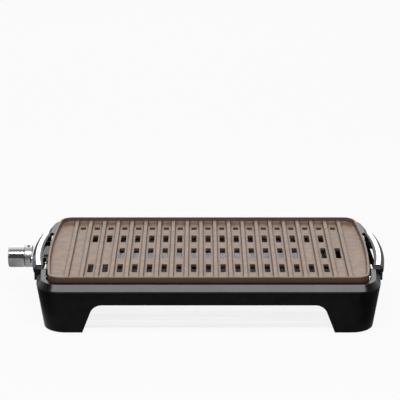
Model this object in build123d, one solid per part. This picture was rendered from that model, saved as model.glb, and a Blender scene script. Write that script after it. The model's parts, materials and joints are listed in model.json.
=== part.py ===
from build123d import *
from math import sqrt
import os

# Smokeless indoor grill in millimetres: base, drip tray, grill plate and plug-in control.
# X runs along the grill with the control at -X, -Y is the front and Z is up.
# The pieces are drawn about the middle of the base, and at the end all of them move along X,
# so that the origin is on the table under the middle of the whole grill with its control.

# Clearances and overlaps that all pieces share
overrun = 2.0  # a cut runs this far past the face that it opens
seat_gap = 0.3  # between pieces that stand on each other and lift apart
slip_fit = 0.1  # radial, round a pin, screw or sleeve
let_in = 0.6  # one form of a moulding or casting is let this deep into the next

# Base casing
base_length = 511.0
base_depth = 288.0
base_height = 76.0
stand_off = 2.0
end_lean = 10.0
side_lean = 6.0
end_bow = 8.0
base_corner = 34.0
base_wall = 3.0

# Rim of the base: a bevel up the outside, then a level land as far as the opening
rim_band = 14.0
rim_fall = 8.5
rim_run = 7.5
rim_skin = 3.0

# Arches in the front and rear walls
arch_margin = 72.0
arch_slant = 17.5
arch_drop = 30.0
arch_shoulder = 18.0

# End notches with their sills, and the shelves that carry the tray
notch_gap = 4.0
notch_drop = 20.0
notch_round = 4.0
sill_depth = 6.0
shelf_thick = 3.0
shelf_run = 59.5
shelf_margin = 2.0
gusset_edge = 6.0
gusset_middle = 30.0
gusset_thick = 2.4
gusset_run = 30.0

# Cradle on each shelf, which goes round the probe's boss
cradle_run = 29.5
cradle_thick = 12.0
cradle_half = 20.0
cradle_rise = 6.0
cradle_gap = 5.4

# Bottom pans at the two ends, and ribs inside the long walls
pan_gap = 2.5
pan_low = 6.0
pan_thick = 3.0
rib_thick = 2.2
rib_proud = 6.0
short_rib_shares = (0.48, 0.85)
tall_rib_runs = (58.5, 33.5)

# Rubber feet
foot_end_margin = 43.5
foot_side_margin = 40.0
foot_radius = 9.0
foot_draft = 1.5
foot_stem = 3.0
foot_bulb = 4.2
foot_bulb_height = 3.5

# Rest clips on the sills
clip_width = 14.0
clip_sheet = 1.0
clip_edge = 0.6
clip_peg = 1.5
clip_peg_length = 4.0
clip_peg_inset = 11.5

# Sheet reflector
reflector_sheet = 1.0
reflector_lap = 5.0
reflector_floor_lap = 0.5
pad_left = -75.0
pad_right = 33.0
pad_depth = 44.0
pad_margin = 40.0
pad_rise = 0.8
tab_run = 16.0
tab_margin = 36.0
reflector_screw_run = 8.5
reflector_screw_edge = 12.0
reflector_boss = 4.0

# Screws: shank radius, head radius and head height of the two sizes
screw_shank = 1.5
screw_head = 2.9
screw_head_height = 1.9
small_shank = 1.1
small_head = 2.0
small_head_height = 1.3
reflector_screw_length = 6.5
recess_arm_share = 0.62
recess_width_share = 0.2
recess_depth_share = 0.5
head_edge_share = 0.25

# Drip tray
tray_end_gap = 25.5
tray_side_gap = 24.0
tray_sheet = 1.0
tray_corner = 16.0
ear_run = 16.0
ear_rise = 4.5
ear_margin = 18.0
ear_corner = 7.0
tray_notch_gap = 5.0
tray_notch_run = 20.0
tray_notch_round = 6.0
lip_drop = 3.5
lip_margin = 34.0
well_end_margin = 39.5
well_end_slope = 28.0
well_front_margin = 11.0
well_front_slope = 11.0
well_back_margin = 20.0
well_back_slope = 30.0
well_drop = 28.0
well_corner = 26.0
well_floor_corner = 18.0
well_round = 7.0
well_lip_round = 3.5

# Grill plate, inside the rim of the base by the same gap all round
plate_gap = 16.5
plate_proud = 8.0
plate_height = 19.0
plate_corner = 19.0
plate_wall = 3.0
pocket_depth = 8.0
pocket_draft = 1.2
pocket_cove = 3.5
plate_floor = 4.0
rim_round = 1.3
skirt_round = 2.4
rib_count = 20
rib_end_margin = 32.85
rib_foot = 7.6
rib_crest = 5.6
rib_height = 4.0
rib_crest_round = 1.1

# Rows of slots from the rear to the front: shares of the half depth, lengths, and the
# channels that have a slot, counted from the middle one
slot_width = 8.0
slot_round = 1.5
row_place_shares = (0.749, 0.392, -0.086, -0.565)
row_lengths = (11.0, 30.0, 42.0, 32.0)
row_channels = (range(-9, 10), range(-8, 9), (*range(-6, 7), 8, 9), range(-8, 9))

# Tubular element in its bed under the plate
control_drop = 17.0
element_radius = 3.3
element_bend = 14.0
element_front_gap = 15.5
element_tail_margin = 13.0
turn_rib = 3
bed_width = 11.0
bed_drop = 5.5
pin_half_gap = 11.0
pin_radius = 2.0
pin_reach = 16.0
bead_radius = 4.2
bead_run = 9.5

# Probe and its boss
probe_radius = 3.0
probe_fit = 0.15
probe_gap = 3.0
probe_seat = 5.0
boss_radius = 6.6
boss_run = 81.0
boss_tip_wall = 4.0

# Pads on the plate's ends for the guard and the brackets
mount_proud = 1.0
guard_pad_half = 35.0
guard_pad_rise = 6.5
bracket_pad_edge = 1.0
bracket_pad_rise = 7.5

# Socket guard
guard_wall = 2.0
guard_reach = 7.5
guard_gap = 0.6
guard_screw_edge = 5.5
mount_screw_length = 5.5

# Handle bows
grip_reach = 25.0
grip_width = 15.0
grip_bow = 7.0
grip_half = 74.0
grip_drop = 4.5
grip_thick = 10.0
grip_wing = 4.5
grip_edge = 1.0
grip_corner = 5.5
relief_gap = 0.8
relief_side = 3.0
handle_foot_gap = 4.4
handle_foot_run = 12.1
handle_foot_width = 16.0
handle_foot_edge = 2.0
handle_foot_bevel = 3.0
trim_width = 6.5
trim_height = 1.0
trim_sink = 0.5
trim_edge = 5.5

# Brackets between plate and bows
bracket_sheet = 2.0
bracket_width = 17.0
bracket_edge = 3.0
bracket_rise = 7.0
bracket_web = 14.0
bracket_screw_edge = 6.0
grip_screw_run = 11.0
grip_screw_length = 13.5
grip_screw_drop = 2.0

# Control housing: neck under the bow, drum outside it
neck_half = 21.0
neck_half_height = 7.0
neck_corner = 5.0
nose_gap = 1.0
housing_wall = 1.8
drum_gap = 1.6
drum_length = 11.4
drum_radius = 16.5
housing_screw_inset = 3.0
housing_screw_edge = 4.6
housing_boss = 2.5
housing_screw_length = 10.0
socket_radius = 3.3
socket_bore_fit = 0.15
socket_inset = 2.2
socket_length = 13.8
gland_radius = 5.0
gland_bore = 3.3
gland_inset = 3.5
gland_length = 18.0
gland_tip = 4.2
lens_radius = 2.4
lens_proud = 0.9
lens_length = 2.5
lens_edge = 0.8
lamp_radius = 1.9
lamp_length = 6.6

# Thermostat
frame_inset = 6.0
frame_half = 6.0
frame_sheet = 1.0
frame_low = 4.6
frame_high = 4.2
bearing_gap = 6.0
bearing_length = 3.0
bearing_high = 3.2
blade_half = 2.4
blade_thick = 0.7
contact_radius = 1.3
contact_height = 0.5

# Dial, as wide as the drum
dial_gap = 0.4
dial_length = 24.2
sleeve_wall = 2.4
sleeve_round = 2.0
sleeve_fit = 0.05
knob_inset = 2.6
knob_skin = 1.8
knob_hub = 5.0
knob_face_wall = 5.0
face_thick = 1.7
face_edge = 0.5
spindle_radius = 2.0
spindle_fit = 0.06
spindle_tail = 6.0
spindle_cover = 2.0
spindle_clip_gap = 1.2
spindle_clip_thick = 1.0
spindle_clip_radius = 4.0
dial_round = 1.0

# Heights that follow from the sizes above
sill_top = base_height - notch_drop
sill_low = sill_top - sill_depth
shelf_top = sill_low + shelf_thick
pan_top = pan_low + pan_thick
rim_low = base_height - rim_fall
roof = base_height - rim_skin
arch_top = base_height - arch_drop
tray_seat = shelf_top + seat_gap
tray_top = tray_seat + tray_sheet
plate_rim = base_height + plate_proud
skirt_low = plate_rim - plate_height
floor_top = plate_rim - pocket_depth
floor_low = floor_top - plate_floor
control_z = plate_rim - control_drop
grip_top = plate_rim - grip_drop
grip_low = grip_top - grip_thick
handle_foot_low = sill_top + clip_sheet + seat_gap

# Places in the base that follow: half lengths along X, then along Y
base_end = base_length / 2
base_side = base_depth / 2
arch_foot_half = base_end - arch_margin
arch_top_half = arch_foot_half - arch_slant
shelf_inner = base_end - shelf_run
cradle_inner = base_end - cradle_run
cradle_dip = boss_radius + cradle_gap
pan_edge = arch_foot_half + pan_gap
short_rib_places = [share * arch_top_half for share in short_rib_shares]
tall_rib_places = [base_end - run for run in tall_rib_runs]
foot_x = base_end - foot_end_margin
foot_y = base_side - foot_side_margin
clip_peg_place = base_end - clip_peg_inset
reflector_floor_half = arch_foot_half + reflector_floor_lap
tab_half = reflector_floor_half + tab_run
reflector_screw_x = reflector_floor_half + reflector_screw_run
tab_side = base_side - tab_margin
reflector_screw_y = tab_side - reflector_screw_edge
pad_back = base_side - pad_margin
pad_front = pad_back - pad_depth

# Places in the tray
tray_length = base_length - 2 * tray_end_gap
tray_depth = base_depth - 2 * tray_side_gap
ear_half = tray_depth / 2 - ear_margin
shelf_half = ear_half + shelf_margin
gusset_half_places = (shelf_half - gusset_edge, gusset_middle)
tray_notch_half = cradle_half + tray_notch_gap
lip_half = tray_length / 2 - lip_margin
well_half = tray_length / 2 - well_end_margin
well_floor_half = well_half - well_end_slope
well_front = tray_depth / 2 - well_front_margin
well_floor_front = well_front - well_front_slope
well_back = tray_depth / 2 - well_back_margin
well_floor_back = well_back - well_back_slope

# Places in the plate and on its ends
plate_length = base_length - 2 * plate_gap
plate_depth = base_depth - 2 * plate_gap
plate_end = plate_length / 2
mount_face = plate_end + mount_proud
rib_pitch = (plate_length - 2 * rib_end_margin) / (rib_count - 1)
rib_places = [(place - (rib_count - 1) / 2) * rib_pitch for place in range(rib_count)]
row_places = [share * plate_depth / 2 for share in row_place_shares]
row_rear_edges = [place + length / 2 for place, length in zip(row_places, row_lengths)]
row_front_edges = [place - length / 2 for place, length in zip(row_places, row_lengths)]
element_tail = plate_end - element_tail_margin
pin_outer = mount_face + pin_reach
bead_inner = plate_end - bead_run
boss_end = plate_end - boss_run
bore_end = boss_end + boss_tip_wall
probe_tip = bore_end + probe_gap
guard_screw_y = guard_pad_half - guard_screw_edge
handle_foot_far = grip_half - handle_foot_edge
handle_foot_near = handle_foot_far - handle_foot_width
handle_foot_inner = mount_face + handle_foot_gap
handle_foot_outer = handle_foot_inner + handle_foot_run
notch_half = handle_foot_far + notch_gap
clip_half_place = (handle_foot_near + handle_foot_far) / 2
bracket_far = handle_foot_far - bracket_edge
bracket_near = bracket_far - bracket_width
bracket_pad_inner = bracket_near - bracket_pad_edge
bracket_pad_outer = bracket_far + bracket_pad_edge
bracket_reach = mount_face + bracket_web
bracket_screw_y = bracket_near + bracket_screw_edge
grip_screw_x = mount_face + grip_screw_run
grip_outer = plate_end + grip_reach
grip_inner = grip_outer - grip_width
trim_half = grip_half - trim_edge

# Places in the control, as distances towards -X, and in its drum
neck_nose = mount_face + guard_wall + nose_gap
drum_start = grip_outer + drum_gap
drum_end = drum_start + drum_length
housing_screw_x = drum_start - housing_screw_inset
housing_screw_y = neck_half - housing_screw_edge
socket_start = neck_nose + socket_inset
socket_end = socket_start + socket_length
gland_x = (drum_start + drum_end) / 2
gland_start = drum_radius - gland_inset
lens_tip = drum_radius + lens_proud
lens_root = lens_tip - lens_length
lamp_high = lens_root - seat_gap
lamp_low = lamp_high - lamp_length
frame_start = neck_nose + frame_inset
probe_root = frame_start + probe_seat
bearing_end = drum_end - bearing_gap
bearing_start = bearing_end - bearing_length
contact_x = (bearing_start + bearing_end) / 2
dial_start = drum_end + dial_gap
dial_end = dial_start + dial_length
knob_end = dial_end - knob_inset
knob_hollow_end = knob_end - knob_face_wall
face_start = knob_end + slip_fit
face_end = face_start + face_thick
spindle_start = bearing_start - spindle_tail
spindle_end = knob_end - spindle_cover
spindle_clip_start = bearing_end + spindle_clip_gap
spindle_clip_end = spindle_clip_start + spindle_clip_thick
centring = (dial_end - grip_outer) / 2


# Helpers
def block(x_span, y_span, z_span):
    """Box between two values on each axis."""
    spans = (x_span, y_span, z_span)
    sizes = [high - low for low, high in spans]
    middle = [(high + low) / 2 for low, high in spans]
    return Pos(*middle) * Box(*sizes)


def rod_x(x_low, x_high, radius, y=0.0, z=control_z):
    """Round rod along X between two places."""
    return Pos((x_low + x_high) / 2, y, z) * Rot(0, 90, 0) * Cylinder(radius, x_high - x_low)


def both_ends(piece):
    """A piece at +X and its mirror image at -X."""
    return [piece, mirror(piece, about=Plane.YZ)]


def both_sides(piece):
    """A piece at +Y and its mirror image at -Y."""
    return [piece, mirror(piece, about=Plane.XZ)]


def four_corners(piece):
    """A piece at +X +Y and its three mirror images."""
    return [copy for side in both_sides(piece) for copy in both_ends(side)]


def at_left(x_low, x_high):
    """Turn a span given as distances towards -X into real X values."""
    return -x_high, -x_low


def bowed_plan(length, depth, corner):
    """Rectangle whose short ends bow outwards, with rounded corners."""
    end = length / 2 - end_bow
    edge = depth / 2
    outline = [
        Line((-end, -edge), (end, -edge)),
        ThreePointArc((end, -edge), (length / 2, 0), (end, edge)),
        Line((end, edge), (-end, edge)),
        ThreePointArc((-end, edge), (-length / 2, 0), (-end, -edge)),
    ]
    face = make_face(outline)
    return fillet(face.vertices(), corner)


def end_at(length, depth, y):
    """Half length of a bowed plan at a distance y from its long middle line."""
    radius = ((depth / 2) ** 2 + end_bow**2) / (2 * end_bow)
    return length / 2 - radius + sqrt(radius**2 - y**2)


def base_size(height, inset=0.0):
    """Length, depth and corner of the base at a height, drawn in by an inset."""
    share = (base_height - height) / (base_height - stand_off)
    length = base_length - 2 * (end_lean * share + inset)
    depth = base_depth - 2 * (side_lean * share + inset)
    return length, depth, base_corner - inset


def base_plan(height, inset=0.0):
    return Pos(0, 0, height) * bowed_plan(*base_size(height, inset))


def rim_plan(height, inset):
    """Plan inside the rim, which keeps the size that the base has at its top."""
    length, depth, corner = base_size(base_height, inset)
    return Pos(0, 0, height) * bowed_plan(length, depth, corner)


def screw(shank, length, head, head_height):
    """Screw along Z with its head up and the seat of the head at the origin."""
    body = Pos(0, 0, -length / 2) * Cylinder(shank, length)
    cap = Pos(0, 0, head_height / 2) * Cylinder(head, head_height)
    cap = chamfer(cap.faces().sort_by(Axis.Z)[-1].edges(), head_height * head_edge_share)
    arm = 2 * head * recess_arm_share
    width = 2 * head * recess_width_share
    depth = 2 * head_height * recess_depth_share
    cross = Box(arm, width, depth) + Box(width, arm, depth)
    return body + cap - Pos(0, 0, head_height) * cross


def wide_screw(length):
    return screw(screw_shank, length, screw_head, screw_head_height)


# Base casing
def arch_cutter(grow=0.0):
    """Solid that opens both arches, or a larger one of the same outline."""
    foot = arch_foot_half + grow
    top = arch_top_half + grow
    low = stand_off - overrun
    high = arch_top + grow
    face = make_face(Polyline((-foot, low), (-top, high), (top, high), (foot, low), close=True))
    shoulders = face.vertices().sort_by(Axis.Y)[-2:]
    face = fillet(shoulders, arch_shoulder + grow)
    return extrude(Plane.XZ * face, base_depth, both=True)


def base_outside():
    """Casing without its hollow: leaning walls, then the bevel up to the level rim."""
    walls = loft([base_plan(stand_off), base_plan(rim_low)])
    return walls + loft([base_plan(rim_low), rim_plan(base_height, rim_run)])


def base_hollow():
    """Hollow of the casing, which follows the walls and the bevel inside."""
    shoulder = rim_low - rim_skin / 2
    hollow = loft([base_plan(stand_off - overrun, base_wall), base_plan(shoulder, base_wall)])
    return hollow + loft([base_plan(shoulder, base_wall), rim_plan(roof, rim_run + rim_skin / 2)])


def end_notches():
    """Cutters for the wide notches in the two ends."""
    depth = 2 * notch_half
    reach = base_end - shelf_inner + overrun
    height = notch_drop + overrun
    centre = Pos(shelf_inner + reach / 2, 0, sill_top + height / 2)
    cutter = Box(reach, depth, height)
    low_edges = cutter.edges().filter_by(Axis.X).sort_by(Axis.Z)[:2]
    return both_ends(centre * fillet(low_edges, notch_round))


def end_shelves(outer):
    """Sill, shelf, gussets and cradle at each end, trimmed to the casing."""
    sill = outer & block(
        (-base_length, base_length),
        (-notch_half - base_wall, notch_half + base_wall),
        (sill_low, sill_top),
    )
    sill -= loft([base_plan(sill_low, rim_band), base_plan(sill_top, rim_band)])
    shelf = block((shelf_inner, base_end), (-shelf_half, shelf_half), (sill_low, shelf_top))
    gusset_low = shelf_inner + gusset_run
    gusset = make_face(
        Polyline(
            (shelf_inner, sill_low + let_in),
            (base_end, sill_low + let_in),
            (base_end, pan_top - let_in),
            (gusset_low, pan_top - let_in),
            close=True,
        )
    )
    gusset = extrude(Plane.XZ * gusset, gusset_thick / 2, both=True)
    cradle = block(
        (cradle_inner, cradle_inner + cradle_thick),
        (-cradle_half, cradle_half),
        (shelf_top - let_in, sill_top + cradle_rise),
    )
    cradle -= rod_x(cradle_inner - overrun, cradle_inner + cradle_thick + overrun, cradle_dip)
    pieces = [sill, *both_ends(cradle)]
    gussets = [Pos(0, place, 0) * gusset for place in gusset_half_places]
    gussets += [Pos(0, -place, 0) * gusset for place in gusset_half_places]
    for form in [shelf, *gussets]:
        pieces += [outer & end for end in both_ends(form)]
    return pieces


def wall_ribs(outer):
    """Stiffening ribs on the insides of the long walls, up to the rim."""
    inner = base_side - side_lean - base_wall - rib_proud
    short_low = arch_top + reflector_lap + seat_gap
    ribs = []
    for places, low in ((short_rib_places, short_low), (tall_rib_places, pan_top - let_in)):
        for place in places:
            span = (place - rib_thick / 2, place + rib_thick / 2)
            rib = block(span, (inner, base_side), (low, roof + let_in))
            ribs += [outer & copy for copy in four_corners(rib)]
    return ribs


def make_base_shell():
    outer = base_outside()
    shell = outer - base_hollow() - arch_cutter()
    shell += wall_ribs(outer)
    shell -= extrude(rim_plan(roof - overrun, rim_band), rim_skin + 2 * overrun)
    pan = block((pan_edge, base_end), (-base_side, base_side), (pan_low, pan_top))
    shell += [outer & end for end in both_ends(pan)]
    shell += end_shelves(outer)
    shell -= end_notches()
    boss_height = pan_low - stand_off
    boss = Cylinder(reflector_boss, boss_height + let_in)
    shell += four_corners(
        Pos(reflector_screw_x, reflector_screw_y, stand_off + (boss_height + let_in) / 2) * boss
    )
    pilot = Cylinder(screw_shank + slip_fit, 2 * base_height)
    stem_hole = Cylinder(foot_stem + slip_fit, 2 * pan_top)
    peg_hole = Cylinder(clip_peg + slip_fit, 2 * clip_peg_length)
    holes = four_corners(Pos(foot_x, foot_y, pan_top) * stem_hole)
    holes += four_corners(Pos(reflector_screw_x, reflector_screw_y, 0) * pilot)
    holes += four_corners(Pos(clip_peg_place, clip_half_place, sill_top) * peg_hole)
    return shell - holes


def make_rubber_feet():
    pad = Pos(0, 0, pan_low / 2) * Cone(foot_radius - foot_draft, foot_radius, pan_low)
    stem_top = pan_top + slip_fit
    stem = Pos(0, 0, stem_top / 2) * Cylinder(foot_stem, stem_top)
    bulb = Pos(0, 0, stem_top + foot_bulb_height / 2) * Cone(foot_bulb, foot_stem, foot_bulb_height)
    return four_corners(Pos(foot_x, foot_y, 0) * (pad + stem + bulb))


def make_rest_clips():
    far_edge = clip_half_place + clip_width / 2
    near_edge = clip_half_place - clip_width / 2
    leg_low = shelf_top + seat_gap
    length, depth, _ = base_size(leg_low, rim_band)
    leg_outer = end_at(length, depth, far_edge) - seat_gap
    length, depth, _ = base_size(sill_top)
    outer_edge = end_at(length, depth, far_edge) - clip_edge
    saddle = block(
        (leg_outer - clip_sheet, outer_edge), (near_edge, far_edge), (sill_top, sill_top + clip_sheet)
    )
    leg = block((leg_outer - clip_sheet, leg_outer), (near_edge, far_edge), (leg_low, sill_top + clip_sheet))
    peg_height = clip_peg_length - overrun / 2
    peg = Pos(clip_peg_place, clip_half_place, sill_top - peg_height / 2) * Cylinder(clip_peg, peg_height)
    return four_corners(saddle + leg + peg)


# Sheet reflector and its screws
def make_reflector():
    outer_inset = base_wall + seat_gap
    inner_inset = outer_inset + reflector_sheet
    top = arch_top + reflector_lap
    outside = loft([base_plan(pan_top, outer_inset), base_plan(roof, outer_inset)])
    inside = loft([base_plan(pan_top, inner_inset), base_plan(roof, inner_inset)])
    height_span = block((-base_length, base_length), (-base_depth, base_depth), (pan_top, top))
    upstands = (outside - inside) & arch_cutter(reflector_lap) & height_span
    floor_span = (pan_top, pan_top + reflector_sheet)
    floor = outside & block(
        (-reflector_floor_half, reflector_floor_half), (-base_depth, base_depth), floor_span
    )
    tabs = block((-tab_half, tab_half), (-tab_side, tab_side), floor_span)
    pad = block(
        (pad_left, pad_right), (pad_front, pad_back), (pan_top, pan_top + reflector_sheet + pad_rise)
    )
    hole = Cylinder(screw_shank + slip_fit, base_height)
    holes = four_corners(Pos(reflector_screw_x, reflector_screw_y, 0) * hole)
    return upstands + floor + tabs + pad - holes


def make_reflector_screws():
    seat = pan_top + reflector_sheet
    return four_corners(
        Pos(reflector_screw_x, reflector_screw_y, seat) * wide_screw(reflector_screw_length)
    )


# Drip tray
def well_form(grow, top, low, corner_round):
    """Tapered form of the well, grown sideways by the sheet for its outside."""
    top_depth = well_front + well_back + 2 * grow
    floor_depth = well_floor_front + well_floor_back + 2 * grow
    top_face = RectangleRounded(2 * (well_half + grow), top_depth, well_corner + grow)
    low_face = RectangleRounded(2 * (well_floor_half + grow), floor_depth, well_floor_corner + grow)
    top_y = (well_back - well_front) / 2
    floor_y = (well_floor_back - well_floor_front) / 2
    form = loft([Pos(0, floor_y, low) * low_face, Pos(0, top_y, top) * top_face])
    return fillet(form.faces().sort_by(Axis.Z)[0].edges(), corner_round)


def well_mouth(tray, height, grow):
    """Edges where the well meets the flange, on its top or on its underside."""
    half = well_half + grow + let_in
    front = well_front + grow + let_in
    level = tray.edges().filter_by_position(Axis.Z, height - slip_fit, height + slip_fit)
    across = level.filter_by_position(Axis.X, -half, half)
    return across.filter_by_position(Axis.Y, -front, front)


def make_drip_tray():
    fold = tray_length / 2 - ear_run
    flange = extrude(Pos(0, 0, tray_seat) * RectangleRounded(2 * fold, tray_depth, tray_corner), tray_sheet)
    well_low = tray_top - well_drop - tray_sheet
    outside = well_form(tray_sheet, tray_top, well_low, well_round + tray_sheet)
    inside = well_form(0, tray_top, well_low + tray_sheet, well_round)
    root = fold - let_in
    ear = make_face(
        Polyline(
            (root, tray_seat),
            (tray_length / 2, tray_seat + ear_rise),
            (tray_length / 2, tray_top + ear_rise),
            (root, tray_top),
            close=True,
        )
    )
    ear = extrude(Plane.XZ * ear, ear_half, both=True)
    ear_plan = RectangleRounded(tray_length, 2 * ear_half, ear_corner)
    ear &= extrude(Pos(0, 0, tray_seat) * ear_plan, tray_top + ear_rise)
    lip_low = tray_seat - lip_drop
    lip = block((-lip_half, lip_half), (tray_depth / 2 - tray_sheet, tray_depth / 2), (lip_low, tray_top))
    notch_inner = tray_length / 2 - tray_notch_run
    notch = RectangleRounded(2 * tray_notch_run, 2 * tray_notch_half, tray_notch_round)
    notch = extrude(Pos(notch_inner + tray_notch_run, 0, tray_seat - overrun) * notch, 2 * tray_seat)
    tray = flange + outside + both_ends(ear) + both_sides(lip) - inside
    upper = well_mouth(tray, tray_top, 0)
    tray = fillet(upper, well_lip_round)
    lower = well_mouth(tray, tray_seat, tray_sheet)
    tray = fillet(lower, well_lip_round - tray_sheet)
    return tray - both_ends(notch)


# Grill plate
def plate_plan(height, inset=0.0):
    plan = bowed_plan(plate_length - 2 * inset, plate_depth - 2 * inset, plate_corner - inset)
    return Pos(0, 0, height) * plan


def element_path(height):
    """Serpentine between the rows of slots, from the rear pin round to the front pin."""
    rear_run = (row_front_edges[0] + row_rear_edges[1]) / 2
    rear_middle = (row_front_edges[1] + row_rear_edges[2]) / 2
    front_middle = (row_front_edges[2] + row_rear_edges[3]) / 2
    front_run = row_front_edges[3] - element_front_gap
    far_left = rib_places[0]
    far_right = rib_places[-1]
    turn = rib_places[turn_rib]
    return FilletPolyline(
        (-element_tail, pin_half_gap, height),
        (far_left, pin_half_gap, height),
        (far_left, rear_run, height),
        (far_right, rear_run, height),
        (far_right, rear_middle, height),
        (turn, rear_middle, height),
        (turn, front_middle, height),
        (far_right, front_middle, height),
        (far_right, front_run, height),
        (far_left, front_run, height),
        (far_left, -pin_half_gap, height),
        (-element_tail, -pin_half_gap, height),
        radius=element_bend,
    )


def along_element(profile, height):
    """Sweep a profile, drawn across X with its second axis up, along the element."""
    start = Plane(origin=(-element_tail, pin_half_gap, height), x_dir=(0, 1, 0), z_dir=(1, 0, 0))
    return sweep(start * profile, element_path(height))


def plate_ribs():
    """Cooking ribs that run from the front wall to the rear wall."""
    foot = rib_foot / 2
    crest = rib_crest / 2
    low = floor_top - let_in
    high = floor_top + rib_height
    profile = make_face(Polyline((-foot, low), (-crest, high), (crest, high), (foot, low), close=True))
    profile = fillet(profile.vertices().sort_by(Axis.Y)[-2:], rib_crest_round)
    run = plate_depth / 2 - plate_wall + let_in
    rib = extrude(Plane.XZ * profile, run, both=True)
    return [Pos(place, 0, 0) * rib for place in rib_places]


def plate_slots():
    """Cutters for the four rows of slots in the channels."""
    slots = []
    for y, length, channels in zip(row_places, row_lengths, row_channels):
        face = RectangleRounded(slot_width, length, slot_round)
        cutter = extrude(Pos(0, 0, floor_low - overrun) * face, plate_floor + 2 * overrun)
        slots += [Pos(channel * rib_pitch, y, 0) * cutter for channel in channels]
    return slots


def mount_pads():
    """Flat pads on the bowed ends, for the guard and the brackets."""
    inner = plate_end - plate_wall
    guard = block(
        (-mount_face, -inner),
        (-guard_pad_half, guard_pad_half),
        (skirt_low, control_z + guard_pad_rise),
    )
    bracket = block(
        (end_at(plate_length, plate_depth, bracket_pad_outer) - plate_wall / 2, mount_face),
        (bracket_pad_inner, bracket_pad_outer),
        (skirt_low, control_z + bracket_pad_rise),
    )
    guard -= block((-inner, 0), (-plate_depth, plate_depth), (0, plate_rim))
    return [guard, *four_corners(bracket)]


def end_bores():
    """Bores in the plate's ends for the probe, the beads and the screws."""
    open_end = mount_face + overrun
    probe = rod_x(*at_left(bore_end, open_end), probe_radius + probe_fit)
    bead = rod_x(*at_left(element_tail - let_in, open_end), bead_radius + slip_fit, pin_half_gap)
    shank_end = mount_face + bracket_sheet - mount_screw_length
    pilot = rod_x(shank_end - let_in, open_end, screw_shank + slip_fit)
    guard_pilot = mirror(pilot, about=Plane.YZ)
    bores = [probe, *both_sides(bead)]
    bores += four_corners(Pos(0, bracket_screw_y, 0) * pilot)
    return bores + both_sides(Pos(0, guard_screw_y, 0) * guard_pilot)


def make_grill_plate():
    body = extrude(plate_plan(skirt_low), plate_height)
    body = fillet(body.faces().sort_by(Axis.Z)[0].edges(), skirt_round)
    body = fillet(body.faces().sort_by(Axis.Z)[-1].edges(), rim_round)
    pocket = loft(
        [plate_plan(floor_top, plate_wall + pocket_draft), plate_plan(plate_rim, plate_wall)]
    )
    pocket = fillet(pocket.faces().sort_by(Axis.Z)[0].edges(), pocket_cove)
    underside = extrude(plate_plan(skirt_low - overrun, plate_wall), floor_low - skirt_low + overrun)
    body = body - pocket - underside
    body += mount_pads()
    body += plate_ribs()
    bed_low = floor_low - bed_drop
    bed_height = bed_drop + let_in
    body += along_element(Rectangle(bed_width, bed_height), bed_low + bed_height / 2)
    body += rod_x(*at_left(boss_end, plate_end - let_in), boss_radius)
    body -= end_bores()
    body -= along_element(Circle(element_radius + slip_fit), control_z)
    return body - plate_slots()


def make_heating_element():
    return along_element(Circle(element_radius), control_z)


def make_terminal_pins():
    start = element_tail + slip_fit
    pin = rod_x(*at_left(start, pin_outer), pin_radius, pin_half_gap)
    tip = pin.faces().sort_by(Axis.X)[0].edges()
    return both_sides(chamfer(tip, pin_radius / 2))


def make_terminal_insulators():
    outer_end = mount_face + guard_wall
    bead = rod_x(*at_left(bead_inner, outer_end), bead_radius, pin_half_gap)
    bore_span = at_left(bead_inner - overrun, outer_end + overrun)
    bore = rod_x(*bore_span, pin_radius + slip_fit, pin_half_gap)
    return both_sides(bead - bore)


# Socket guard
def guard_frame(grow, x_low, x_high):
    """Rounded block round the neck, grown by a gap or a wall."""
    width = 2 * (neck_half + grow)
    height = 2 * (neck_half_height + grow)
    face = Plane.YZ * RectangleRounded(width, height, neck_corner + grow)
    return Pos(-x_high, 0, control_z) * extrude(face, x_high - x_low)


def make_socket_guard():
    back = block(
        at_left(mount_face, mount_face + guard_wall),
        (-guard_pad_half, guard_pad_half),
        (skirt_low, control_z + guard_pad_rise),
    )
    front = mount_face + guard_reach
    frame = guard_frame(guard_gap + guard_wall, mount_face, front)
    frame -= guard_frame(guard_gap, mount_face + guard_wall, front + overrun)
    guard = back + frame
    reach = (mount_face - overrun, front + overrun)
    holes = [rod_x(*at_left(*reach), probe_radius + 2 * probe_fit)]
    holes += both_sides(rod_x(*at_left(*reach), bead_radius + slip_fit, pin_half_gap))
    holes += both_sides(rod_x(*at_left(*reach), screw_shank + slip_fit, guard_screw_y))
    return guard - holes


def outward_screw(face, length, y):
    """Screw driven along X into the right-hand end, its head seated at a face."""
    return Pos(face, y, control_z) * Rot(0, 90, 0) * wide_screw(length)


def make_socket_guard_screws():
    seat = mount_face + guard_wall
    right = outward_screw(seat, mount_screw_length, guard_screw_y)
    return both_sides(mirror(right, about=Plane.YZ))


# Handle bows, made at +X and mirrored for the left end
def bow_face(inner, outer, half):
    """Band between two arcs that bow outwards by the same amount."""
    sag = grip_bow * (half / grip_half) ** 2
    outline = [
        ThreePointArc((outer - sag, -half), (outer, 0), (outer - sag, half)),
        Line((outer - sag, half), (inner - sag, half)),
        ThreePointArc((inner - sag, half), (inner, 0), (inner - sag, -half)),
        Line((inner - sag, -half), (outer - sag, -half)),
    ]
    return make_face(outline)


def trim_edges():
    """Inner and outer place of the bright trim, beside the sloping wing."""
    outer = grip_outer - grip_wing - trim_sink
    return outer - trim_width, outer


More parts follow.
